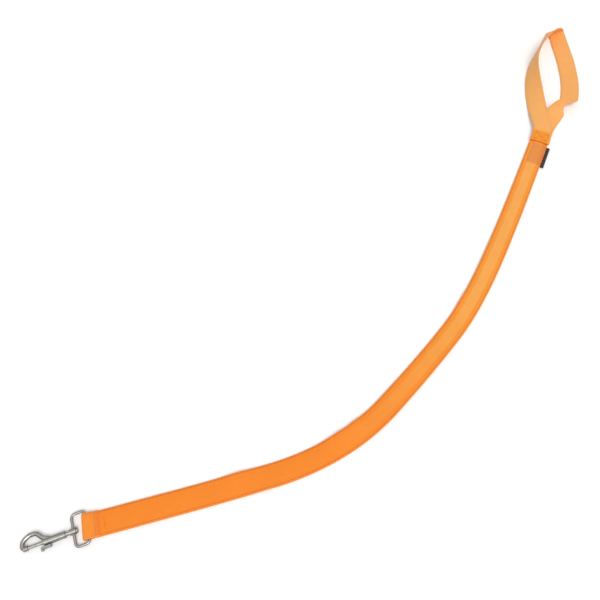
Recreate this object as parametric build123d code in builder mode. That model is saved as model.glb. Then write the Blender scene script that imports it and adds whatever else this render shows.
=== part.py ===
"""A webbing lanyard with a swivel bolt snap at one end and a hand loop at the other.

Units are millimetres. +X runs along the snap's own axis, from its ring towards the strap,
and +Z is up. The origin is on the strap's underside, 12 mm from the eye's bar.
"""
import os
from math import hypot, radians, tan

from build123d import *

os.makedirs("parts", exist_ok=True)

# ---- webbing -------------------------------------------------------------------------------
WEB_WIDTH = 25.0
PLY = 1.6
# Control points of the strap in plan, from the eye's bar to the base of the hand loop.
STRAP_POINTS = [(-12, 1.25), (86, -9), (248, -21), (381, 45), (460, 92), (577, 197), (683, 300)]
# Control points of the hand loop in plan, out along one limb and back along the other.
LOOP_POINTS = [
    (678, 305), (693, 346), (720, 396), (752, 438), (799, 471), (808, 460),
    (799, 432), (779, 377), (751, 334), (713, 317), (688, 295),
]
ARC_SHARE = 0.45
# Cuts run this far past the face that they open.
CUT_PAST = 1.0

LABEL_LENGTH = 39.0
LABEL_FROM_END = 23.0
CORE_LABEL_GAP = 1.0
CORE_WIDTH = 11.6
CORE_THICKNESS = 1.0
CORE_START = 14.0
CORE_END = LABEL_FROM_END + LABEL_LENGTH + CORE_LABEL_GAP
CORE_SIDE_GAP = 0.2
CORE_END_GAP = 0.5

TOP_PLY_START = 3.0

# ---- folded end round the eye's bar --------------------------------------------------------
BAR_X, BAR_Y = STRAP_POINTS[0]
WIRE_RADIUS = 1.4
FOLD_CLEARANCE = 0.4
FOLD_INNER_RADIUS = WIRE_RADIUS + FOLD_CLEARANCE
BAR_Z = PLY + FOLD_INNER_RADIUS
FOLD_SLOPE_START = 1.8
FOLD_SLOPE_END = 6.0
FOLD_TAIL_END = 11.0
FOLD_BEND = 2.5
# The bar lies askew in the fold, so the fold is this much longer than a round one.
FOLD_SKEW_ROOM = 1.4

# ---- hand loop's sewn end and the label ----------------------------------------------------
TONGUE_LENGTH = 20.0
TONGUE_THICKNESS = 2 * PLY
LABEL_THICKNESS = 0.8
LABEL_INSIDE = 20.0
LABEL_PROUD = 4.5
LABEL_GAP = 0.15

# ---- stitching -----------------------------------------------------------------------------
THREAD_HEIGHT = 0.3
THREAD_WIDTH = 0.5
STITCH_LENGTH = 2.0
EDGE_ROW_INSET = 1.6
EDGE_ROW_OFFSET = WEB_WIDTH / 2 - EDGE_ROW_INSET
EDGE_ROW_END_GAP = 1.0
TACK_ROWS = (7.6, 9.8)
TACK_PITCH = 2.7
TACK_INSET = 1.5
TACK_STITCHES = int((WEB_WIDTH - 2 * TACK_INSET) / TACK_PITCH)
CORE_TACK_INSET = 2.5
CORE_TACK_STITCHES = int(CORE_WIDTH / TACK_PITCH)
BOX_STITCH_LENGTH = 14.0
BOX_STITCH_INSET = 3.0
BOX_STITCH_WIDTH = WEB_WIDTH - 2 * BOX_STITCH_INSET
BOX_SIDE_STITCHES = int(BOX_STITCH_LENGTH / TACK_PITCH)
BOX_END_STITCHES = int(BOX_STITCH_WIDTH / TACK_PITCH) - 1
BOX_FROM_EDGE_ROWS = 4.0

# ---- eye and swivel ------------------------------------------------------------------------
EYE_SIDE_GAP = 1.7
EYE_HALF_WIDTH = WEB_WIDTH / 2 + EYE_SIDE_GAP + WIRE_RADIUS
EYE_LENGTH = 13.4
EYE_CORNER = 4.0
BOSS_RADIUS = 3.3
BOSS_LENGTH = 5.3
BOSS_LEAD = 2.6
SHANK_RADIUS = 1.5
SHANK_CLEARANCE = 0.07
NECK_RADIUS = 2.3
NECK_LENGTH = 3.8
WASHER_THICKNESS = 0.8
WASHER_RADIUS = 3.0
AXIAL_GAP = 0.2
HEAD_GAP = 0.3
HEAD_RADIUS = 2.7
HEAD_LENGTH = 1.2

# ---- bolt snap -----------------------------------------------------------------------------
BARREL_RADIUS = 3.4
BARREL_LENGTH = 20.0
BOLT_RADIUS = 1.6
BOLT_CLEARANCE = 0.07
BORE_RADIUS = BOLT_RADIUS + BOLT_CLEARANCE
BOLT_FRONT = 16.0
BOLT_INSIDE = 6.0
BOLT_CHAMFER = 0.3
PLUG_SHOULDER = 0.43
PLUG_RADIUS = BORE_RADIUS + PLUG_SHOULDER
PLUG_CLEARANCE = 0.02
PLUG_LENGTH = 2.8
BOLT_TRAVEL = 8.5
FINGER_RADIUS = 2.2
FINGER_TOP = 11.0
FINGER_REACH = 20.3
FINGER_ROOT_INSIDE = 7.0
FINGER_ROOT_RISE = 1.2
FINGER_NECK_AHEAD = 1.0
FINGER_NECK_RISE = 4.6
FINGER_SHOULDER_AHEAD = 6.5
FINGER_CROWN_BACK = 7.0
FINGER_NOSE_RISE = 7.0
FINGER_LUG_INSIDE = 3.5
FINGER_BENDS = [6.0, 6.0, 8.0, 6.0, 3.0]
LUG_CLEARANCE = 0.25
LUG_WALL = 0.65
LUG_RADIUS = BOLT_RADIUS + LUG_CLEARANCE + LUG_WALL
LUG_LENGTH = 4.0
LUG_LIP = 0.6
STUD_NECK_RADIUS = 0.9
STUD_NECK_FROM_FRONT = 4.1
STUD_NECK_START = 0.36
STUD_FIT = 0.02
SLOT_GAP = 0.3
STUD_PAD_GAP = 0.55
STUD_PAD_LENGTH = 9.8
STUD_PAD_THICKNESS = 2.1
STUD_PAD_WIDTH = 4.4
STUD_PAD_CORNER = 1.0
STUD_LIP = 1.5
STUD_LIP_LENGTH = 2.0
STUD_LIP_CORNER = 0.8
STUD_BEHIND_NECK = 2.1
# With the bolt drawn right back, the turns lie wire to wire in what is left of the bore.
SPRING_WIRE = 0.2
SPRING_BORE_GAP = 0.22
SPRING_RADIUS = BORE_RADIUS - SPRING_BORE_GAP - SPRING_WIRE
SPRING_TURNS = 5
SPRING_SEAT_GAP = 0.1


def along_first(distance):
    """The point that far along the strap's first run."""
    (ax, ay), (bx, by) = STRAP_POINTS[:2]
    share = distance / hypot(bx - ax, by - ay)
    return (ax + (bx - ax) * share, ay + (by - ay) * share)


def before_last(distance):
    """The point that far before the end of the strap's last run."""
    (ax, ay), (bx, by) = STRAP_POINTS[-1], STRAP_POINTS[-2]
    share = distance / hypot(bx - ax, by - ay)
    return (ax + (bx - ax) * share, ay + (by - ay) * share)


def corner_radii(points):
    """Each arc as large as its two runs allow."""
    radii = []
    for before, corner, after in zip(points, points[1:], points[2:]):
        run_in = Vector(*corner) - Vector(*before)
        run_out = Vector(*after) - Vector(*corner)
        turn = run_in.get_angle(run_out)
        shorter = min(run_in.length, run_out.length)
        radii.append(ARC_SHARE * shorter / tan(radians(turn) / 2))
    return radii


def strap_points(start, end):
    return [along_first(start), *STRAP_POINTS[1:-1], before_last(end)]


STRAP_RADII = corner_radii(STRAP_POINTS)
LOOP_RADII = corner_radii(LOOP_POINTS)
print("strap radii", [round(r) for r in STRAP_RADII])
print("loop radii", [round(r, 1) for r in LOOP_RADII])


def web_trace(start, end, width, mode=Mode.ADD):
    """Draws the strap's plan between two cuts, at the given width, in the open sketch."""
    with BuildLine() as path:
        FilletPolyline(*strap_points(start, end), radius=STRAP_RADII)
    trace(path.edges(), line_width=width, mode=mode)


FIRST = Vector(*STRAP_POINTS[1]) - Vector(*STRAP_POINTS[0])
LAST = Vector(*STRAP_POINTS[-1]) - Vector(*STRAP_POINTS[-2])
START_DIR = FIRST.normalized()
END_DIR = LAST.normalized()
# Upright plane along the strap at the bar: local x along the strap, local y up.
FOLD_PLANE = Plane(
    origin=(BAR_X, BAR_Y, 0), x_dir=START_DIR, z_dir=(START_DIR.Y, -START_DIR.X, 0))


def start_plane(z):
    """Level plane at the bar: local x along the strap, local y to its left."""
    return Plane(origin=(BAR_X, BAR_Y, z), x_dir=START_DIR, z_dir=(0, 0, 1))


def end_plane(z):
    """Level plane at the strap's far end: local x onwards, local y to its left."""
    return Plane(origin=(*STRAP_POINTS[-1], z), x_dir=END_DIR, z_dir=(0, 0, 1))


def across(x):
    """Plane square to the snap's axis, its centre on that axis and its normal along +X."""
    return Plane(origin=(x, BAR_Y, BAR_Z), x_dir=(0, 1, 0), z_dir=(1, 0, 0))


CHANNEL_DEPTH = CORE_THICKNESS / 2
CHANNEL_WIDTH = CORE_WIDTH + 2 * CORE_SIDE_GAP
POCKET_DEPTH = LABEL_THICKNESS / 2
LABEL_CENTRE = -LABEL_FROM_END - LABEL_LENGTH / 2
LABEL_SIDE = -WEB_WIDTH / 2 - LABEL_PROUD + (LABEL_INSIDE + LABEL_PROUD) / 2
POCKET_LENGTH = LABEL_LENGTH + 2 * LABEL_GAP
POCKET_WIDTH = LABEL_INSIDE + LABEL_PROUD + 2 * LABEL_GAP
BOX_END_GAP = TONGUE_LENGTH + BOX_FROM_EDGE_ROWS

# ---- bottom ply: carries on round the bar and is sewn down on top ---------------------------
FOLD_TOP_Z = 2 * BAR_Z - PLY / 2
TAIL_Z = 2.5 * PLY
with BuildPart() as jacket_bottom_ply:
    with BuildSketch(Plane.XY):
        web_trace(0, 0, WEB_WIDTH)
    extrude(amount=PLY)
    with BuildSketch(FOLD_PLANE):
        with BuildLine():
            Line((0, PLY / 2), (-FOLD_SKEW_ROOM, PLY / 2))
            ThreePointArc(
                (-FOLD_SKEW_ROOM, PLY / 2),
                (-FOLD_SKEW_ROOM - FOLD_INNER_RADIUS - PLY / 2, BAR_Z),
                (-FOLD_SKEW_ROOM, FOLD_TOP_Z))
            FilletPolyline(
                (-FOLD_SKEW_ROOM, FOLD_TOP_Z), (FOLD_SLOPE_START, FOLD_TOP_Z),
                (FOLD_SLOPE_END, TAIL_Z), (FOLD_TAIL_END, TAIL_Z), radius=FOLD_BEND)
        trace(line_width=PLY)
    extrude(amount=WEB_WIDTH / 2, both=True)
    with BuildSketch(Plane.XY.offset(PLY - CHANNEL_DEPTH)):
        web_trace(CORE_START - CORE_END_GAP, CORE_END - CORE_END_GAP, CHANNEL_WIDTH)
    extrude(amount=CHANNEL_DEPTH, mode=Mode.SUBTRACT)
    with BuildSketch(end_plane(PLY - POCKET_DEPTH)):
        with Locations((LABEL_CENTRE, LABEL_SIDE)):
            Rectangle(POCKET_LENGTH, POCKET_WIDTH)
    extrude(amount=POCKET_DEPTH, mode=Mode.SUBTRACT)

# ---- top ply --------------------------------------------------------------------------------
with BuildPart() as jacket_top_ply:
    with BuildSketch(Plane.XY.offset(PLY)):
        web_trace(TOP_PLY_START, 0, WEB_WIDTH)
    extrude(amount=PLY)
    with BuildSketch(Plane.XY.offset(PLY)):
        web_trace(CORE_START - CORE_END_GAP, CORE_END - CORE_END_GAP, CHANNEL_WIDTH)
    extrude(amount=CHANNEL_DEPTH, mode=Mode.SUBTRACT)
    with BuildSketch(end_plane(PLY)):
        with Locations((LABEL_CENTRE, LABEL_SIDE)):
            Rectangle(POCKET_LENGTH, POCKET_WIDTH)
    extrude(amount=POCKET_DEPTH, mode=Mode.SUBTRACT)

# ---- shock core, in the channel between the plies -------------------------------------------
with BuildPart() as shock_core:
    with BuildSketch(Plane.XY.offset(PLY - CHANNEL_DEPTH)):
        web_trace(CORE_START, CORE_END, CORE_WIDTH)
    extrude(amount=CORE_THICKNESS)

# ---- identity label, held between the plies and standing out at one edge --------------------
with BuildPart() as id_label:
    with BuildSketch(end_plane(PLY - POCKET_DEPTH)):
        with Locations((LABEL_CENTRE, LABEL_SIDE)):
            Rectangle(LABEL_LENGTH, LABEL_INSIDE + LABEL_PROUD)
    extrude(amount=LABEL_THICKNESS)

# ---- hand loop: a band on edge, and its two ends sewn flat on the strap ---------------------
with BuildPart() as hand_loop:
    with BuildSketch(Plane.XY):
        with BuildLine():
            FilletPolyline(*LOOP_POINTS, radius=LOOP_RADII)
        trace(line_width=PLY)
    extrude(amount=WEB_WIDTH)
    with BuildSketch(end_plane(2 * PLY)):
        with Locations((-TONGUE_LENGTH / 2 + PLY / 2, 0)):
            Rectangle(TONGUE_LENGTH + PLY, WEB_WIDTH)
    extrude(amount=TONGUE_THICKNESS)
    with BuildSketch(end_plane(0)):
        with Locations((-PLY, 0)):
            Rectangle(2 * PLY, WEB_WIDTH)
    extrude(amount=2 * PLY, mode=Mode.SUBTRACT)

# ---- stitching ------------------------------------------------------------------------------
with BuildPart() as edge_stitching:
    with BuildSketch(Plane.XY.offset(2 * PLY)):
        web_trace(FOLD_TAIL_END + EDGE_ROW_END_GAP, BOX_END_GAP, 2 * EDGE_ROW_OFFSET + THREAD_WIDTH)
        web_trace(
            FOLD_TAIL_END, BOX_END_GAP - CUT_PAST, 2 * EDGE_ROW_OFFSET - THREAD_WIDTH, Mode.SUBTRACT)
    extrude(amount=THREAD_HEIGHT)

with BuildPart() as bar_tacks:
    for row in TACK_ROWS:
        with BuildSketch(start_plane(TAIL_Z + PLY / 2)):
            with Locations((row, 0)):
                with GridLocations(1, TACK_PITCH, 1, TACK_STITCHES):
                    Rectangle(THREAD_WIDTH, STITCH_LENGTH)
        extrude(amount=THREAD_HEIGHT)

BOX_TOP = 2 * PLY + TONGUE_THICKNESS
BOX_CENTRE = -TONGUE_LENGTH / 2
with BuildPart() as loop_box_stitch:
    with BuildSketch(end_plane(BOX_TOP)):
        with Locations((BOX_CENTRE, 0)):
            with GridLocations(BOX_STITCH_LENGTH, TACK_PITCH, 2, BOX_END_STITCHES):
                Rectangle(THREAD_WIDTH, STITCH_LENGTH)
            with GridLocations(TACK_PITCH, BOX_STITCH_WIDTH, BOX_SIDE_STITCHES, 2):
                Rectangle(STITCH_LENGTH, THREAD_WIDTH)
    extrude(amount=THREAD_HEIGHT)

# The tacks' stitches show on the strap's top, over the core's two ends.
CORE_TACK_PLACES = (
    (start_plane(2 * PLY), CORE_START + CORE_TACK_INSET),
    (end_plane(2 * PLY), -CORE_END - CORE_TACK_INSET))
with BuildPart() as core_tacks:
    for plane, distance in CORE_TACK_PLACES:
        with BuildSketch(plane):
            with Locations((distance, 0)):
                with GridLocations(1, TACK_PITCH, 1, CORE_TACK_STITCHES):
                    Rectangle(THREAD_WIDTH, STITCH_LENGTH)
        extrude(amount=THREAD_HEIGHT)

# ---- eye: one wire frame whose rear bar lies in the fold ------------------------------------
EYE_FRONT_X = BAR_X - EYE_LENGTH
BOSS_FRONT_X = EYE_FRONT_X - BOSS_LEAD
BOSS_REAR_X = BOSS_FRONT_X + BOSS_LENGTH
with BuildPart() as swivel_eye:
    with BuildLine(Plane.XY.offset(BAR_Z)) as eye_path:
        FilletPolyline(
            (BAR_X, BAR_Y - EYE_HALF_WIDTH), (BAR_X, BAR_Y + EYE_HALF_WIDTH),
            (EYE_FRONT_X, BAR_Y + EYE_HALF_WIDTH), (EYE_FRONT_X, BAR_Y - EYE_HALF_WIDTH),
            radius=EYE_CORNER, close=True)
    with BuildSketch(Plane(origin=eye_path.line @ 0, z_dir=eye_path.line % 0)):
        Circle(WIRE_RADIUS)
    sweep(path=eye_path.line)
    with BuildSketch(across(BOSS_FRONT_X)):
        Circle(BOSS_RADIUS)
    extrude(amount=BOSS_LENGTH)
    with BuildSketch(across(BOSS_FRONT_X)):
        Circle(SHANK_RADIUS + SHANK_CLEARANCE)
    extrude(amount=BOSS_LENGTH, mode=Mode.SUBTRACT)

# ---- washer, post and their places along the axis -------------------------------------------
WASHER_REAR_X = BOSS_FRONT_X - AXIAL_GAP
NECK_REAR_X = WASHER_REAR_X - WASHER_THICKNESS - AXIAL_GAP
BARREL_REAR_X = NECK_REAR_X - NECK_LENGTH
BARREL_FRONT_X = BARREL_REAR_X - BARREL_LENGTH
HEAD_FRONT_X = BOSS_REAR_X + HEAD_GAP

with BuildPart() as swivel_washer:
    with BuildSketch(across(WASHER_REAR_X - WASHER_THICKNESS)):
        Circle(WASHER_RADIUS)
        Circle(SHANK_RADIUS + SHANK_CLEARANCE, mode=Mode.SUBTRACT)
    extrude(amount=WASHER_THICKNESS)

with BuildPart() as swivel_post:
    with BuildSketch(across(BARREL_REAR_X - PLUG_LENGTH)):
        Circle(PLUG_RADIUS - PLUG_CLEARANCE)
    extrude(amount=PLUG_LENGTH)
    with BuildSketch(across(BARREL_REAR_X)):
        Circle(NECK_RADIUS)
    extrude(amount=NECK_LENGTH)
    with BuildSketch(across(NECK_REAR_X)):
        Circle(SHANK_RADIUS)
    extrude(amount=HEAD_FRONT_X - NECK_REAR_X)
    with BuildSketch(across(HEAD_FRONT_X)):
        Circle(HEAD_RADIUS)
    extrude(amount=HEAD_LENGTH)
    fillet(swivel_post.edges().filter_by(GeomType.CIRCLE).sort_by(Axis.X)[-1], HEAD_LENGTH / 2)

# ---- hook body: barrel, finger and nose lug in one casting ----------------------------------
BOLT_TIP_X = BARREL_FRONT_X - BOLT_FRONT
BOLT_REAR_X = BARREL_FRONT_X + BOLT_INSIDE
LUG_FRONT_X = BOLT_TIP_X + LUG_LIP
STUD_X = BARREL_FRONT_X + STUD_NECK_FROM_FRONT
FINGER_TIP_X = BARREL_FRONT_X - FINGER_REACH
FINGER_Y = BAR_Y + FINGER_TOP
PLUG_FRONT_X = BARREL_REAR_X - PLUG_LENGTH
SLOT_HALF = STUD_NECK_RADIUS + SLOT_GAP
with BuildPart() as hook_body:
    with BuildSketch(across(BARREL_FRONT_X)):
        Circle(BARREL_RADIUS)
    extrude(amount=BARREL_LENGTH)
    with BuildLine(Plane.XY.offset(BAR_Z)) as finger_path:
        FilletPolyline(
            (BARREL_FRONT_X + FINGER_ROOT_INSIDE, BAR_Y + FINGER_ROOT_RISE),
            (BARREL_FRONT_X - FINGER_NECK_AHEAD, BAR_Y + FINGER_NECK_RISE),
            (BARREL_FRONT_X - FINGER_SHOULDER_AHEAD, FINGER_Y),
            (FINGER_TIP_X + FINGER_CROWN_BACK, FINGER_Y),
            (FINGER_TIP_X, BAR_Y + FINGER_NOSE_RISE), (FINGER_TIP_X, BAR_Y),
            (FINGER_TIP_X + FINGER_LUG_INSIDE, BAR_Y),
            radius=FINGER_BENDS)
    with BuildSketch(Plane(origin=finger_path.line @ 0, z_dir=finger_path.line % 0)):
        Circle(FINGER_RADIUS)
    sweep(path=finger_path.line)
    with BuildSketch(across(LUG_FRONT_X - LUG_LENGTH)):
        Circle(LUG_RADIUS)
    extrude(amount=LUG_LENGTH)
    with BuildSketch(across(BARREL_FRONT_X - CUT_PAST)):
        Circle(BORE_RADIUS)
    extrude(amount=BARREL_LENGTH + CUT_PAST, mode=Mode.SUBTRACT)
    with BuildSketch(across(PLUG_FRONT_X)):
        Circle(PLUG_RADIUS)
    extrude(amount=PLUG_LENGTH, mode=Mode.SUBTRACT)
    with BuildSketch(across(LUG_FRONT_X - 2 * LUG_LIP)):
        Circle(BOLT_RADIUS + LUG_CLEARANCE)
    extrude(amount=BOLT_FRONT + LUG_LIP, mode=Mode.SUBTRACT)
    # Slot in the barrel's side for the stud's neck, over the bolt's whole travel.
    with BuildSketch(Plane(origin=(STUD_X, BAR_Y, BAR_Z), x_dir=(1, 0, 0), z_dir=(0, -1, 0))):
        with Locations((BOLT_TRAVEL / 2, 0)):
            SlotOverall(BOLT_TRAVEL + 2 * SLOT_HALF, 2 * SLOT_HALF)
    extrude(amount=BARREL_RADIUS + CUT_PAST, mode=Mode.SUBTRACT)

# ---- plunger bolt ---------------------------------------------------------------------------
NECK_START_Y = BAR_Y - STUD_NECK_START
with BuildPart() as plunger_bolt:
    with BuildSketch(across(BOLT_TIP_X)):
        Circle(BOLT_RADIUS)
    extrude(amount=BOLT_FRONT + BOLT_INSIDE)
    chamfer(plunger_bolt.edges().group_by(Axis.X)[0], BOLT_CHAMFER)
    with BuildSketch(Plane(
            origin=(STUD_X, NECK_START_Y, BAR_Z), x_dir=(1, 0, 0), z_dir=(0, -1, 0))):
        Circle(STUD_NECK_RADIUS)
    extrude(amount=BOLT_RADIUS, mode=Mode.SUBTRACT)

# ---- thumb stud: neck through the slot, and an L-shaped pad outside -------------------------
PAD_TOP_Y = BAR_Y - BARREL_RADIUS - STUD_PAD_GAP
PAD_CENTRE_X = STUD_X + STUD_BEHIND_NECK - STUD_PAD_LENGTH / 2
with BuildPart() as thumb_stud:
    with BuildSketch(Plane(
            origin=(PAD_CENTRE_X, PAD_TOP_Y, BAR_Z), x_dir=(1, 0, 0), z_dir=(0, -1, 0))):
        RectangleRounded(STUD_PAD_LENGTH, STUD_PAD_WIDTH, STUD_PAD_CORNER)
    extrude(amount=STUD_PAD_THICKNESS)
    with BuildSketch(Plane(
            origin=(PAD_CENTRE_X - (STUD_PAD_LENGTH - STUD_LIP_LENGTH) / 2, PAD_TOP_Y, BAR_Z),
            x_dir=(1, 0, 0), z_dir=(0, -1, 0))):
        RectangleRounded(STUD_LIP_LENGTH, STUD_PAD_WIDTH, STUD_LIP_CORNER)
    extrude(amount=STUD_PAD_THICKNESS + STUD_LIP)
    with BuildSketch(Plane(
            origin=(STUD_X, NECK_START_Y, BAR_Z), x_dir=(1, 0, 0), z_dir=(0, -1, 0))):
        Circle(STUD_NECK_RADIUS - STUD_FIT)
    extrude(amount=BARREL_RADIUS + STUD_PAD_GAP - STUD_NECK_START)

# ---- bolt spring ----------------------------------------------------------------------------
SPRING_START_X = BOLT_REAR_X + SPRING_WIRE + SPRING_SEAT_GAP
SPRING_LENGTH = PLUG_FRONT_X - SPRING_WIRE - SPRING_SEAT_GAP - SPRING_START_X
with BuildPart() as bolt_spring:
    with BuildLine() as spring_path:
        Helix(
            pitch=SPRING_LENGTH / SPRING_TURNS, height=SPRING_LENGTH, radius=SPRING_RADIUS,
            center=(SPRING_START_X, BAR_Y, BAR_Z), direction=(1, 0, 0))
    with BuildSketch(Plane(origin=spring_path.line @ 0, z_dir=spring_path.line % 0)):
        Circle(SPRING_WIRE)
    sweep(path=spring_path.line)

# ---- the strap's volume against its section times its length --------------------------------
with BuildLine() as strap_line:
    FilletPolyline(*STRAP_POINTS, radius=STRAP_RADII)
with BuildLine() as loop_line:
    FilletPolyline(*LOOP_POINTS, radius=LOOP_RADII)
STRAP_LENGTH = sum(edge.length for edge in strap_line.edges())
LOOP_LENGTH = sum(edge.length for edge in loop_line.edges())
print("strap length", round(STRAP_LENGTH, 1), "loop length", round(LOOP_LENGTH, 1))
print("spring: room with the bolt drawn back", round(SPRING_LENGTH + 2 * SPRING_WIRE - BOLT_TRAVEL, 2),
      "wire to wire", round((SPRING_TURNS + 1) * 2 * SPRING_WIRE, 2))
print("core volume", round(shock_core.part.volume, 1), "against",
      round((STRAP_LENGTH - CORE_START - CORE_END) * CORE_WIDTH * CORE_THICKNESS, 1))

jacket_bottom_ply.part.label = "jacket_bottom_ply"
jacket_top_ply.part.label = "jacket_top_ply"
shock_core.part.label = "shock_core"
id_label.part.label = "id_label"
hand_loop.part.label = "hand_loop"
edge_stitching.part.label = "edge_stitching"
bar_tacks.part.label = "bar_tacks"
loop_box_stitch.part.label = "loop_box_stitch"
core_tacks.part.label = "core_tacks"
swivel_eye.part.label = "swivel_eye"
swivel_washer.part.label = "swivel_washer"
swivel_post.part.label = "swivel_post"
hook_body.part.label = "hook_body"
plunger_bolt.part.label = "plunger_bolt"
thumb_stud.part.label = "thumb_stud"
bolt_spring.part.label = "bolt_spring"

export_step(jacket_bottom_ply.part, "parts/jacket_bottom_ply.step")
export_step(jacket_top_ply.part, "parts/jacket_top_ply.step")
export_step(shock_core.part, "parts/shock_core.step")
export_step(id_label.part, "parts/id_label.step")
export_step(hand_loop.part, "parts/hand_loop.step")
export_step(edge_stitching.part, "parts/edge_stitching.step")
export_step(bar_tacks.part, "parts/bar_tacks.step")
export_step(loop_box_stitch.part, "parts/loop_box_stitch.step")
export_step(core_tacks.part, "parts/core_tacks.step")
export_step(swivel_eye.part, "parts/swivel_eye.step")
export_step(swivel_washer.part, "parts/swivel_washer.step")
export_step(swivel_post.part, "parts/swivel_post.step")
export_step(hook_body.part, "parts/hook_body.step")
export_step(plunger_bolt.part, "parts/plunger_bolt.step")
export_step(thumb_stud.part, "parts/thumb_stud.step")
export_step(bolt_spring.part, "parts/bolt_spring.step")
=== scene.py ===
"""Looks of a webbing lanyard with a bolt snap, a shock core and a hand loop. Metres throughout."""
from math import cos, exp, pi, radians, sin, sqrt

import bpy
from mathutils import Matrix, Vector


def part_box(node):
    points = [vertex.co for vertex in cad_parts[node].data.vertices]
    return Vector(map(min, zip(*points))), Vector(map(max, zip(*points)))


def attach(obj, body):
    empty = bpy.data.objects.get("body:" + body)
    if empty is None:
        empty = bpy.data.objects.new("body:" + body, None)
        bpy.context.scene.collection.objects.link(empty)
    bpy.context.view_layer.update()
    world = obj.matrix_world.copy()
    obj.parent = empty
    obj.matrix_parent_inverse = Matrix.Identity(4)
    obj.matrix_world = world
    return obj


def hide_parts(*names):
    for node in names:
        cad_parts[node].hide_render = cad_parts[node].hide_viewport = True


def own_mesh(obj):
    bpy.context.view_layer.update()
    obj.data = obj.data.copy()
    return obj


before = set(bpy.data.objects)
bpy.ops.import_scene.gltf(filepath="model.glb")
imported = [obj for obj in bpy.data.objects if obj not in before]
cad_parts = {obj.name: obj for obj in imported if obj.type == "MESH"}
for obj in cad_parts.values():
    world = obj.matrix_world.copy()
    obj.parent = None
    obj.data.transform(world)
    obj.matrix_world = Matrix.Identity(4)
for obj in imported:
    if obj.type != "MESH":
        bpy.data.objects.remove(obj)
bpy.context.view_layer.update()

MM = 0.001
WIDTH = 25 * MM
PLY = 1.6 * MM
JACKET = 2 * PLY
STEP = 2 * MM
BAR = Vector((-12, 1.25, 3.4)) * MM

STRAP_POINTS = [(-12, 1.25), (86, -9), (248, -21), (381, 45), (460, 92), (577, 197), (683, 300)]
# The hand loop's middle line x, y, the height of the band's lower edge, the compass direction of
# that edge from the middle, and the band's dip towards it: 0 is flat, 90 on edge, 180 turned over.
LOOP_POINTS = [
    (669, 286, 5.8, 134, 0), (678, 296, 5.8, 134, 0), (687, 306, 6, 138, 0), (693, 322, 5, 155, 6),
    (700, 340, 2.5, 158, 14), (708, 360, 1, 155, 26), (717, 382, 1, 152, 40), (728, 405, 1, 148, 58),
    (742, 426, 1, 138, 70), (758, 442, 1, 130, 76), (776, 456, 1, 128, 76), (791, 467, 1, 128, 70),
    (804, 476, 1, 124, 60), (814, 482, 1.6, 120, 48), (820, 484, 2, 145, 26), (823, 484, 1.6, 163, 8),
    (821, 474, 1, 164, 6), (815, 460, 1, 164, 7), (808, 441, 1, 163, 8), (800, 420, 1, 160, 8),
    (791, 400, 1, 157, 8), (781, 380, 1, 152, 8), (770, 362, 1, 150, 8), (758, 346, 1, 152, 9),
    (748, 336, 2, 156, 20), (740, 331, 2, 148, 60), (732, 330, 2, 132, 120), (723, 328, 2, 122, 160),
    (711, 321, 1, 120, 174), (699, 313, 1.5, 126, 178), (689, 305, 3.6, 133, 180),
    (680, 296, 4.1, 134, 180), (671, 286, 4.1, 134, 180),
]


# ---- lines and ribbons ---------------------------------------------------------------------
def spline_line(points, steps):
    """Points along the smooth line that those control points make."""
    data = bpy.data.curves.new("route", "CURVE")
    data.dimensions = "3D"
    data.resolution_u = steps
    spline = data.splines.new("NURBS")
    spline.points.add(len(points) - 1)
    for target, point in zip(spline.points, points):
        target.co = (*point, 1)
    spline.order_u = 3
    spline.use_endpoint_u = True
    holder = bpy.data.objects.new("route", data)
    bpy.context.scene.collection.objects.link(holder)
    bpy.context.view_layer.update()
    mesh = bpy.data.meshes.new_from_object(holder.evaluated_get(bpy.context.evaluated_depsgraph_get()))
    line = [v.co.copy() for v in mesh.vertices]
    bpy.data.objects.remove(holder)
    bpy.data.meshes.remove(mesh)
    bpy.data.curves.remove(data)
    return line


def even_steps(line, step):
    """The same line with evenly spaced points, and its length."""
    lengths = [0.0]
    for a, b in zip(line, line[1:]):
        lengths.append(lengths[-1] + (b - a).length)
    count = max(2, round(lengths[-1] / step))
    spaced, i = [], 0
    for k in range(count + 1):
        s = lengths[-1] * k / count
        while i < len(line) - 2 and lengths[i + 1] < s:
            i += 1
        share = (s - lengths[i]) / max(lengths[i + 1] - lengths[i], 1e-9)
        spaced.append(line[i].lerp(line[i + 1], min(1, share)))
    return spaced, lengths[-1]


def tangents(line):
    last = len(line) - 1
    return [(line[min(i + 1, last)] - line[max(i - 1, 0)]).normalized() for i in range(len(line))]


def web_section(thickness, ridge, bulge, segments=22):
    """Outline of a webbing's cut end as (across, height), across running from -1 to 1."""
    top = []
    for k in range(segments + 1):
        u = -cos(pi * k / segments)
        u = 0.45 * u + 0.55 * (2 * k / segments - 1)
        half = thickness / 2 * (1 - abs(u) ** 12) ** 0.5
        edge = ridge * exp(-((abs(u) - 0.93) / 0.05) ** 2) - ridge * exp(-((abs(u) - 0.84) / 0.04) ** 2)
        middle = bulge / (1 + exp((abs(u) - 0.47) / 0.03))
        top.append((u, half + (edge + middle) * (1 - abs(u) ** 12)))
    bottom = [(u, -min(h, thickness / 2)) for u, h in reversed(top[1:-1])]
    return top + bottom


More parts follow.
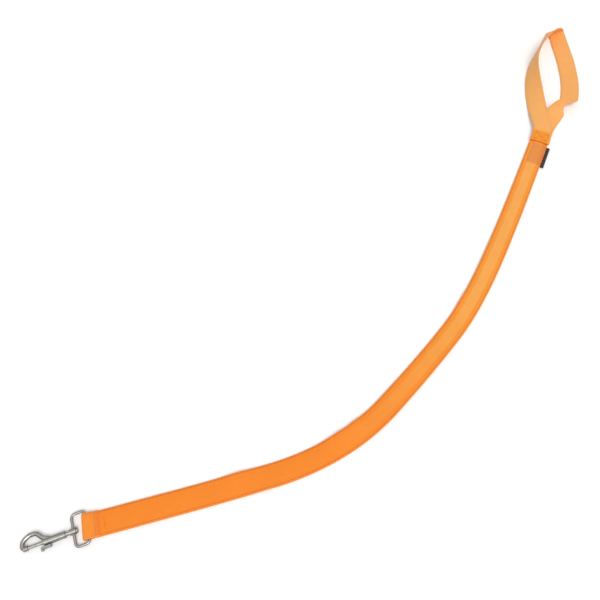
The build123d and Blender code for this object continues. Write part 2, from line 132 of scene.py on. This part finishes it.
def ribbon(name, line, sides, section, width=WIDTH, lift=None):
    """A closed band along the line. sides are the unit vectors across it; UVs are in band widths."""
    count, around = len(line), len(section)
    along = tangents(line)
    verts, uvs, s = [], [], 0.0
    for i, (centre, side, forward) in enumerate(zip(line, sides, along)):
        s += (line[i] - line[i - 1]).length if i else 0
        up = forward.cross(side).normalized()
        for u, h in section:
            raised = lift(s, u) if lift else 0
            verts.append(centre + side * (u * width / 2) + up * (h + raised))
            uvs.append(((u + 1) / 2, s / WIDTH))
    faces = []
    for i in range(count - 1):
        for k in range(around):
            a, b = i * around + k, i * around + (k + 1) % around
            faces.append((a, b, b + around, a + around))
    faces.append(tuple(reversed(range(around))))
    faces.append(tuple(range((count - 1) * around, count * around)))
    mesh = bpy.data.meshes.new(name)
    mesh.from_pydata(verts, [], faces)
    layer = mesh.uv_layers.new(name="UVMap")
    for loop in mesh.loops:
        layer.data[loop.index].uv = uvs[loop.vertex_index]
    mesh.validate()
    mesh.update()
    for face in mesh.polygons:
        face.use_smooth = len(face.vertices) == 4
    piece = bpy.data.objects.new(name, mesh)
    bpy.context.scene.collection.objects.link(piece)
    return piece


# ---- materials -----------------------------------------------------------------------------
def colour(r, g, b):
    """A colour as it shows on screen, 0 to 255, made linear."""
    return [((c / 255 + 0.055) / 1.055) ** 2.4 if c > 10 else c / 255 / 12.92 for c in (r, g, b)] + [1]


class Nodes:
    """Short ways to add and join shader nodes."""

    def __init__(self, name):
        self.material = bpy.data.materials.new(name)
        self.material.use_nodes = True
        self.tree = self.material.node_tree
        self.shader = self.tree.nodes["Principled BSDF"]

    def add(self, kind, **settings):
        node = self.tree.nodes.new("ShaderNode" + kind)
        for key, value in settings.items():
            setattr(node, key, value)
        return node

    def join(self, source, target):
        self.tree.links.new(source, target)

    def math(self, operation, a, b=0.0):
        node = self.add("Math", operation=operation)
        for socket, value in zip(node.inputs, (a, b)):
            if isinstance(value, (int, float)):
                socket.default_value = value
            else:
                self.join(value, socket)
        return node.outputs[0]

    def ramp(self, value, low, high, start=0.0, end=1.0):
        node = self.add("MapRange", interpolation_type="SMOOTHSTEP")
        self.join(value, node.inputs["Value"])
        for key, number in (("From Min", low), ("From Max", high), ("To Min", start), ("To Max", end)):
            node.inputs[key].default_value = number
        return node.outputs[0]

    def mix(self, factor, a, b, blend="MIX"):
        node = self.add("Mix", data_type="RGBA", blend_type=blend)
        self.join(factor, node.inputs[0])
        for socket, value in ((node.inputs[6], a), (node.inputs[7], b)):
            if isinstance(value, list):
                socket.default_value = value
            else:
                self.join(value, socket)
        return node.outputs[2]

    def noise(self, scale, detail=3.0):
        node = self.add("TexNoise")
        node.inputs["Scale"].default_value = scale
        node.inputs["Detail"].default_value = detail
        self.join(self.add("TexCoord").outputs["Object"], node.inputs["Vector"])
        return node.outputs["Fac"]

    def bump(self, height, distance, strength=1.0):
        node = self.add("Bump")
        node.inputs["Distance"].default_value = distance
        node.inputs["Strength"].default_value = strength
        self.join(height, node.inputs["Height"])
        self.join(node.outputs[0], self.shader.inputs["Normal"])


def webbing(name, near, far_sheen_colour, band, fade, shade_patch=None, join=None):
    """Woven polyester. near and far are its colours at the two ends of fade, given in band widths
    along it, with far paler as painted sheen; band is the colour of a painted sheen stripe down the middle,
    which grows in with far. patch is painted shade, a darker orange at the loop's base, where the webbing lies
    in layers."""
    n = Nodes(name)
    split = n.add("SeparateXYZ")
    n.join(n.add("TexCoord").outputs["UV"], split.inputs[0])
    u, v = split.outputs[0], split.outputs[1]
    # Painted sheen: the strap turns paler along its length, as light glances off it.
    sheen_share = n.ramp(v, *fade)
    body = n.mix(sheen_share, near, far_sheen_colour)
    off_centre = n.math("ABSOLUTE", n.math("SUBTRACT", u, 0.5))
    # Painted sheen: a paler stripe down the middle, growing in along with the paler end.
    middle = n.math("MULTIPLY", n.ramp(off_centre, 0.2, 0.27, 1, 0), sheen_share)
    body = n.mix(middle, body, band)
    edge = n.ramp(n.math("ABSOLUTE", n.math("SUBTRACT", off_centre, 0.425)), 0.008, 0.03, 0.55, 0)
    dark = [c * 0.8 for c in near[:3]] + [1]
    body = n.mix(edge, body, dark)
    if shade_patch:
        # Painted shade: a darker, browner orange over most of the width, where the webbing lies in layers at the
        # loop's base.
        first, last, inner, tint = shade_patch
        shade_mask = n.math("MULTIPLY", n.ramp(v, first - 0.1, first + 0.1), n.ramp(v, last - 0.1, last + 0.1, 1, 0))
        shade_mask = n.math("MULTIPLY", shade_mask, n.ramp(u, inner - 0.06, inner + 0.04, 0.5, 0))
        body = n.mix(shade_mask, body, tint)
    if join:
        start, end, tint = join
        body = n.mix(n.ramp(v, start, end, 1, 0), body, tint)
    blotch = n.ramp(n.noise(60, 4), 0.35, 0.7, 0, 0.12)
    body = n.mix(blotch, body, dark)
    n.join(body, n.shader.inputs["Base Color"])
    # Plain weave: warp and weft ribs cross every 0.8 mm.
    ribs = 2 * pi * 25 / 1.6
    warp = n.math("SINE", n.math("MULTIPLY", u, ribs))
    weft = n.math("SINE", n.math("MULTIPLY", v, ribs * 0.8))
    weave = n.math("MULTIPLY", warp, weft)
    fuzz = n.math("MULTIPLY", n.noise(900, 2), 0.6)
    n.bump(n.math("ADD", weave, fuzz), 0.00016, 0.8)
    n.shader.inputs["Roughness"].default_value = 0.62
    n.shader.inputs["Sheen Weight"].default_value = 0.25
    n.shader.inputs["Sheen Roughness"].default_value = 0.4
    n.shader.inputs["Specular IOR Level"].default_value = 0.35
    return n.material


def metal(name, tone, rough, wear):
    """Satin nickel plating with fine scratches and rubbed patches."""
    n = Nodes(name)
    smudge = n.ramp(n.noise(220, 5), 0.35, 0.7)
    worn = [c * wear for c in tone[:3]] + [1]
    n.join(n.mix(smudge, tone, worn), n.shader.inputs["Base Color"])
    n.join(n.ramp(n.noise(500, 4), 0.3, 0.7, rough - 0.06, rough + 0.12), n.shader.inputs["Roughness"])
    n.bump(n.noise(1400, 3), 0.00005, 0.5)
    n.shader.inputs["Metallic"].default_value = 1.0
    return n.material


def yarn(name, tone):
    n = Nodes(name)
    shade = n.ramp(n.noise(1500, 2), 0.3, 0.7)
    n.join(n.mix(shade, tone, [c * 0.7 for c in tone[:3]] + [1]), n.shader.inputs["Base Color"])
    n.bump(n.noise(2500, 2), 0.0001, 0.6)
    n.shader.inputs["Roughness"].default_value = 0.55
    n.shader.inputs["Sheen Weight"].default_value = 0.2
    return n.material


def label_cloth(name):
    """Bare black woven tape."""
    n = Nodes(name)
    shade = n.ramp(n.noise(700, 3), 0.3, 0.7)
    n.join(n.mix(shade, colour(48, 32, 22), colour(70, 46, 30)), n.shader.inputs["Base Color"])
    n.bump(n.noise(1800, 2), 0.0001, 0.8)
    n.shader.inputs["Roughness"].default_value = 0.7
    return n.material


# ---- strap ---------------------------------------------------------------------------------
FLOOR_GAP = 0.1 * MM
strap_middle = FLOOR_GAP + JACKET / 2
control = [Vector((x, y, 0)) * MM + Vector((0, 0, strap_middle)) for x, y in STRAP_POINTS]
strap_line, strap_length = even_steps(spline_line(control, 60), STEP)
up = Vector((0, 0, 1))
strap_sides = [up.cross(t).normalized() for t in tangents(strap_line)]

# Where the strap stands off the ground: place along it, height, half length, and which edge lifts.
WAVES = [
    (60, 0.6, 22, 0), (150, 2.6, 16, 1), (176, 1.4, 12, -1), (262, 3.2, 15, 1), (287, 2.6, 10, 1),
    (330, 0.8, 25, 0), (415, 1.0, 30, -1), (492, 1.8, 14, 1), (570, 0.9, 30, 0), (660, 1.2, 28, -1),
]
CREASES = [(46, 0.3), (256, 1.3), (489, 1.4)]


def strap_lift(s, u):
    place = s / MM
    raised = 0.0
    for centre, height, half, edge in WAVES:
        lean = 1 if edge == 0 else (1 + edge * u) / 2
        raised += height * lean ** 1.5 * exp(-((place - centre) / half) ** 2)
    for centre, depth in CREASES:
        raised -= depth * min(1, raised) * exp(-((place - centre - 2 * u) / 1.8) ** 2)
    return raised * MM


START_TRIM = 3 * MM
first = round(START_TRIM / STEP)
jacket = ribbon(
    "strap_jacket", strap_line[first:], strap_sides[first:],
    web_section(JACKET, 0.22 * MM, 0.25 * MM), lift=lambda s, u: strap_lift(s + START_TRIM, u))

# Painted shade on the strap near the loop's base runs between these two places, in band widths.
SHADE_FIRST = (strap_length - START_TRIM - 62 * MM) / WIDTH
SHADE_LAST = (strap_length - START_TRIM - 23 * MM) / WIDTH
# Painted sheen in the second and third colours; the patch is painted shade.
orange = webbing(
    "orange_webbing_sheen_and_shade", colour(255, 140, 30), colour(255, 155, 46), colour(255, 174, 80), (8, 23),
    shade_patch=(SHADE_FIRST, SHADE_LAST, 0.8, colour(214, 112, 56)))
jacket.data.materials.append(orange)
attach(jacket, "webbing")
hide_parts("jacket_bottom_ply", "jacket_top_ply")

core_first, core_last = round(14 * MM / STEP), round(63 * MM / STEP)
core = ribbon(
    "shock_core_band", strap_line[core_first:-core_last], strap_sides[core_first:-core_last],
    web_section(1 * MM, 0, 0, 8), width=11.6 * MM, lift=lambda s, u: strap_lift(s + 14 * MM, 0.46 * u))
core.data.materials.append(yarn("core_cloth", colour(250, 190, 130)))
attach(core, "webbing")
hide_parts("shock_core")

# ---- folded end round the eye's bar --------------------------------------------------------
start_dir = (control[1] - control[0]).normalized()
start_side = up.cross(start_dir)


def fold_point(along, height):
    return Vector((BAR.x, BAR.y, 0)) + start_dir * along * MM + up * height * MM


fold_control = [fold_point(a, h) for a, h in [
    (11, 4.1), (9, 4.05), (6, 4.1), (3.6, 5.4), (1.6, 6.05), (-1.6, 6.1), (-4.1, 5.6), (-4.3, 3.4),
    (-4.1, 1.2), (-1.6, 0.85), (2, 0.85), (5, 1.0)]]
fold_line, fold_length = even_steps(spline_line(fold_control, 16), 0.6 * MM)
fold = ribbon("hook_tab_fold", fold_line, [-start_side] * len(fold_line), web_section(PLY, 0.1 * MM, 0))
fold.data.materials.append(webbing(
    "tab_webbing", colour(255, 148, 46), colour(255, 148, 46), colour(255, 148, 46), (5, 6)))
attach(fold, "webbing")

# ---- hand loop -----------------------------------------------------------------------------
def lower_edge_way(heading, dip):
    """The unit vector from the band's middle to its lower edge, from two angles in degrees."""
    level = cos(radians(dip))
    return Vector((cos(radians(heading)) * level, sin(radians(heading)) * level, -sin(radians(dip))))


loop_control, side_control = [], []
for x, y, foot, heading, dip in LOOP_POINTS:
    side = lower_edge_way(heading, dip)
    loop_control.append(Vector((x, y, foot)) * MM - Vector((0, 0, side.z * WIDTH / 2)))
    side_control.append(side)
loop_dense, side_dense = spline_line(loop_control, 40), spline_line(side_control, 40)
loop_line, _ = even_steps(loop_dense, 1 * MM)
loop_sides, found = [], 0
for point in loop_line:
    reach = range(found, min(found + 60, len(loop_dense)))
    found = min(reach, key=lambda k: (loop_dense[k] - point).length)
    loop_sides.append(side_dense[found].normalized())
loop = ribbon("hand_loop_band", loop_line, loop_sides, web_section(1.3 * MM, 0.1 * MM, 0))
# Painted light: the loop is painted paler than the strap for the light falling on it; where it joins the strap
# it keeps the strap's deeper orange.
loop_lit_tone = colour(255, 180, 98)
loop.data.materials.append(webbing(
    "loop_webbing", loop_lit_tone, loop_lit_tone, loop_lit_tone, (5, 6), join=(0.7, 1.0, colour(255, 156, 34))))
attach(loop, "webbing")
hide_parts("hand_loop")


# ---- stitching -----------------------------------------------------------------------------
def stitches(name, places, radius, *nodes):
    """One mesh of round-backed stitches, each from one point to the next."""
    verts, faces = [], []
    for start, end, normal in places:
        forward = (end - start).normalized()
        side = forward.cross(normal).normalized()
        base = len(verts)
        for share, size in ((0, 0.35), (0.2, 1), (0.8, 1), (1, 0.35)):
            centre = start.lerp(end, share)
            for k in range(6):
                angle = 2 * pi * k / 6
                verts.append(centre + (side * cos(angle) + normal * sin(angle)) * radius * size)
        for ring in range(3):
            for k in range(6):
                a, b = base + ring * 6 + k, base + ring * 6 + (k + 1) % 6
                faces.append((a, b, b + 6, a + 6))
        faces.append(tuple(base + k for k in reversed(range(6))))
        faces.append(tuple(base + 18 + k for k in range(6)))
    mesh = bpy.data.meshes.new(name)
    mesh.from_pydata(verts, [], faces)
    mesh.validate()
    for face in mesh.polygons:
        face.use_smooth = len(face.vertices) == 4
    piece = bpy.data.objects.new(name, mesh)
    bpy.context.scene.collection.objects.link(piece)
    piece.data.materials.append(thread)
    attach(piece, "webbing")
    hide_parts(*nodes)
    return piece


thread = yarn("orange_thread", colour(238, 116, 30))


def on_strap(s, u, above):
    """A point on the strap's top, s along it and u across it."""
    place = s / strap_length * (len(strap_line) - 1)
    low = min(int(place), len(strap_line) - 2)
    centre = strap_line[low].lerp(strap_line[low + 1], place - low)
    return centre + strap_sides[low] * (u * WIDTH / 2) + up * (JACKET / 2 + strap_lift(s, u) + above)


edge_places = []
for edge in (-0.84, 0.84):
    s = 16 * MM
    while s < strap_length - 26 * MM:
        edge_places.append((on_strap(s, edge, -0.1 * MM), on_strap(s + 3 * MM, edge, -0.1 * MM), up))
        s += 3.9 * MM
stitches("edge_stitches", edge_places, 0.3 * MM, "edge_stitching")

TAB_TOP = 4.9
tack_places = []
for row in (7.4, 9.6):
    for k in range(16):
        across_mm = -10.5 + 1.4 * k
        a = fold_point(row - 0.7, TAB_TOP) + start_side * across_mm * MM
        b = fold_point(row + 0.7, TAB_TOP) + start_side * (across_mm + 0.7) * MM
        tack_places.append((a, b, up))
stitches("tab_bar_tacks", tack_places, 0.28 * MM, "bar_tacks")

core_places = []
for centre in (16.5 * MM, strap_length - 65.5 * MM):
    for k in range(7):
        across_share = (-4.5 + 1.5 * k) / 12.5
        core_places.append((
            on_strap(centre - 0.8 * MM, across_share, 0.25 * MM),
            on_strap(centre + 0.8 * MM, across_share + 0.04, 0.25 * MM), up))
core_tacks = stitches("core_end_tacks", core_places, 0.26 * MM, "core_tacks")
# The tack at the loop's end is painted bright yellow, a painted highlight of light glinting off its stitches.
core_tacks.data.materials.append(yarn("tack_glint_highlight", colour(255, 214, 40)))
for face in core_tacks.data.polygons:
    face.material_index = 1 if face.center.x > 0.3 else 0

end_dir = (control[-1] - control[-2]).normalized()
end_side = up.cross(end_dir)
base_point = Vector((683, 300, 0)) * MM
BOX_TOP = 6.65
box_corners = [(-17, -9), (-17, 9), (-3, 9), (-3, -9)]
box_runs = list(zip(box_corners, box_corners[1:] + box_corners[:1]))
box_runs += [(box_corners[0], box_corners[2]), (box_corners[1], box_corners[3])]
box_places = []
for (ax, ay), (bx, by) in box_runs:
    run = sqrt((bx - ax) ** 2 + (by - ay) ** 2)
    count = round(run / 2.6)
    for k in range(count):
        low, high = k / count, (k + 0.75) / count
        points = [
            base_point + end_dir * (ax + (bx - ax) * f) * MM + end_side * (ay + (by - ay) * f) * MM
            + up * BOX_TOP * MM for f in (low, high)]
        box_places.append((points[0], points[1], up))
stitches("loop_box_stitches", box_places, 0.3 * MM, "loop_box_stitch")

# ---- finishes of the CAD parts that stay ---------------------------------------------------
satin = metal("satin_nickel", colour(176, 172, 166), 0.34, 0.86)
bright = metal("worn_steel", colour(190, 188, 184), 0.26, 0.9)
FINISHES = {
    "swivel_eye": satin, "hook_body": satin, "swivel_post": satin, "thumb_stud": satin,
    "swivel_washer": bright, "plunger_bolt": bright,
    "id_label": label_cloth("label_tape"),
}
for node, material in FINISHES.items():
    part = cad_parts[node]
    if not part.data.materials:
        part.data.materials.append(material)
    for part_slot in part.material_slots:
        part_slot.material = material

# ---- spring, a wire coil where the bolt spring part was ------------------------------------
SPRING_TURNS = 5
SPRING_WIRE = 0.2 * MM
STEPS_A_TURN = 24
low, high = (Vector(corner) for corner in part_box("bolt_spring"))
spring_length = high.x - low.x
coil_radius = (high.y - low.y) / 2 - SPRING_WIRE
coil_line, coil_sides = [], []
for k in range(SPRING_TURNS * STEPS_A_TURN + 1):
    turn = 2 * pi * k / STEPS_A_TURN
    outward = Vector((0, cos(turn), sin(turn)))
    along = low.x + SPRING_WIRE + (spring_length - 2 * SPRING_WIRE) * k / (SPRING_TURNS * STEPS_A_TURN)
    centre = Vector((along, (low.y + high.y) / 2, (low.z + high.z) / 2))
    coil_line.append(centre + outward * coil_radius)
    coil_sides.append(outward)
wire_section = [(-cos(2 * pi * k / 8), SPRING_WIRE * sin(2 * pi * k / 8)) for k in range(8)]
coil = ribbon("bolt_spring_coil", coil_line, coil_sides, wire_section, width=2 * SPRING_WIRE)
coil.data.materials.append(bright)
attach(coil, "hook")
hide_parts("bolt_spring")
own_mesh(coil)

# ---- floor, light and camera ---------------------------------------------------------------
floor_mesh = bpy.data.meshes.new("floor")
REACH = 6.0
floor_mesh.from_pydata(
    [(-REACH, -REACH, 0), (REACH, -REACH, 0), (REACH, REACH, 0), (-REACH, REACH, 0)], [], [(0, 1, 2, 3)])
floor = bpy.data.objects.new("floor", floor_mesh)
bpy.context.scene.collection.objects.link(floor)
paper = Nodes("pale_paper")
paper.join(paper.mix(paper.ramp(paper.noise(3, 2), 0.3, 0.7), [0.93, 0.93, 0.93, 1], [0.9, 0.9, 0.9, 1]),
           paper.shader.inputs["Base Color"])
paper.shader.inputs["Roughness"].default_value = 0.9
# A little of the floor's white is its own, for the camera alone, so that it shows white.
paper.join(paper.math("MULTIPLY", paper.add("LightPath").outputs["Is Camera Ray"], 0.13),
           paper.shader.inputs["Emission Strength"])
paper.shader.inputs["Emission Color"].default_value = (1, 1, 1, 1)
floor_mesh.materials.append(paper.material)

world = bpy.data.worlds.new("studio")
bpy.context.scene.world = world
world.use_nodes = True
tree = world.node_tree
background = tree.nodes["Background"]
# The light is even; what metal reflects is bright above and dim near the horizon.
coords = tree.nodes.new("ShaderNodeTexCoord")
split = tree.nodes.new("ShaderNodeSeparateXYZ")
height = tree.nodes.new("ShaderNodeMapRange")
rays = tree.nodes.new("ShaderNodeLightPath")
choose = tree.nodes.new("ShaderNodeMix")
tree.links.new(coords.outputs["Generated"], split.inputs[0])
tree.links.new(split.outputs[2], height.inputs["Value"])
height.inputs["From Min"].default_value = 0.1
height.inputs["From Max"].default_value = 0.85
height.inputs["To Min"].default_value = 0.12
height.inputs["To Max"].default_value = 0.95
tree.links.new(rays.outputs["Is Glossy Ray"], choose.inputs[0])
choose.inputs[2].default_value = 0.62
tree.links.new(height.outputs[0], choose.inputs[3])
tree.links.new(choose.outputs[0], background.inputs["Strength"])
background.inputs["Color"].default_value = (1, 1, 1, 1)

sun_data = bpy.data.lights.new("soft_key", "SUN")
sun_data.energy = 1.4
sun_data.angle = radians(28)
sun = bpy.data.objects.new("soft_key", sun_data)
sun.rotation_euler = (radians(24), radians(18), radians(-30))
bpy.context.scene.collection.objects.link(sun)

camera_data = bpy.data.cameras.new("camera")
camera_data.sensor_width = 36
camera_data.lens = 35.4
camera = bpy.data.objects.new("camera", camera_data)
camera.location = (0.1467, -0.1602, 0.6059)
camera.rotation_euler = (radians(30), 0, radians(-20.5))
bpy.context.scene.collection.objects.link(camera)
bpy.context.scene.camera = camera
bpy.context.scene.view_settings.view_transform = "Standard"
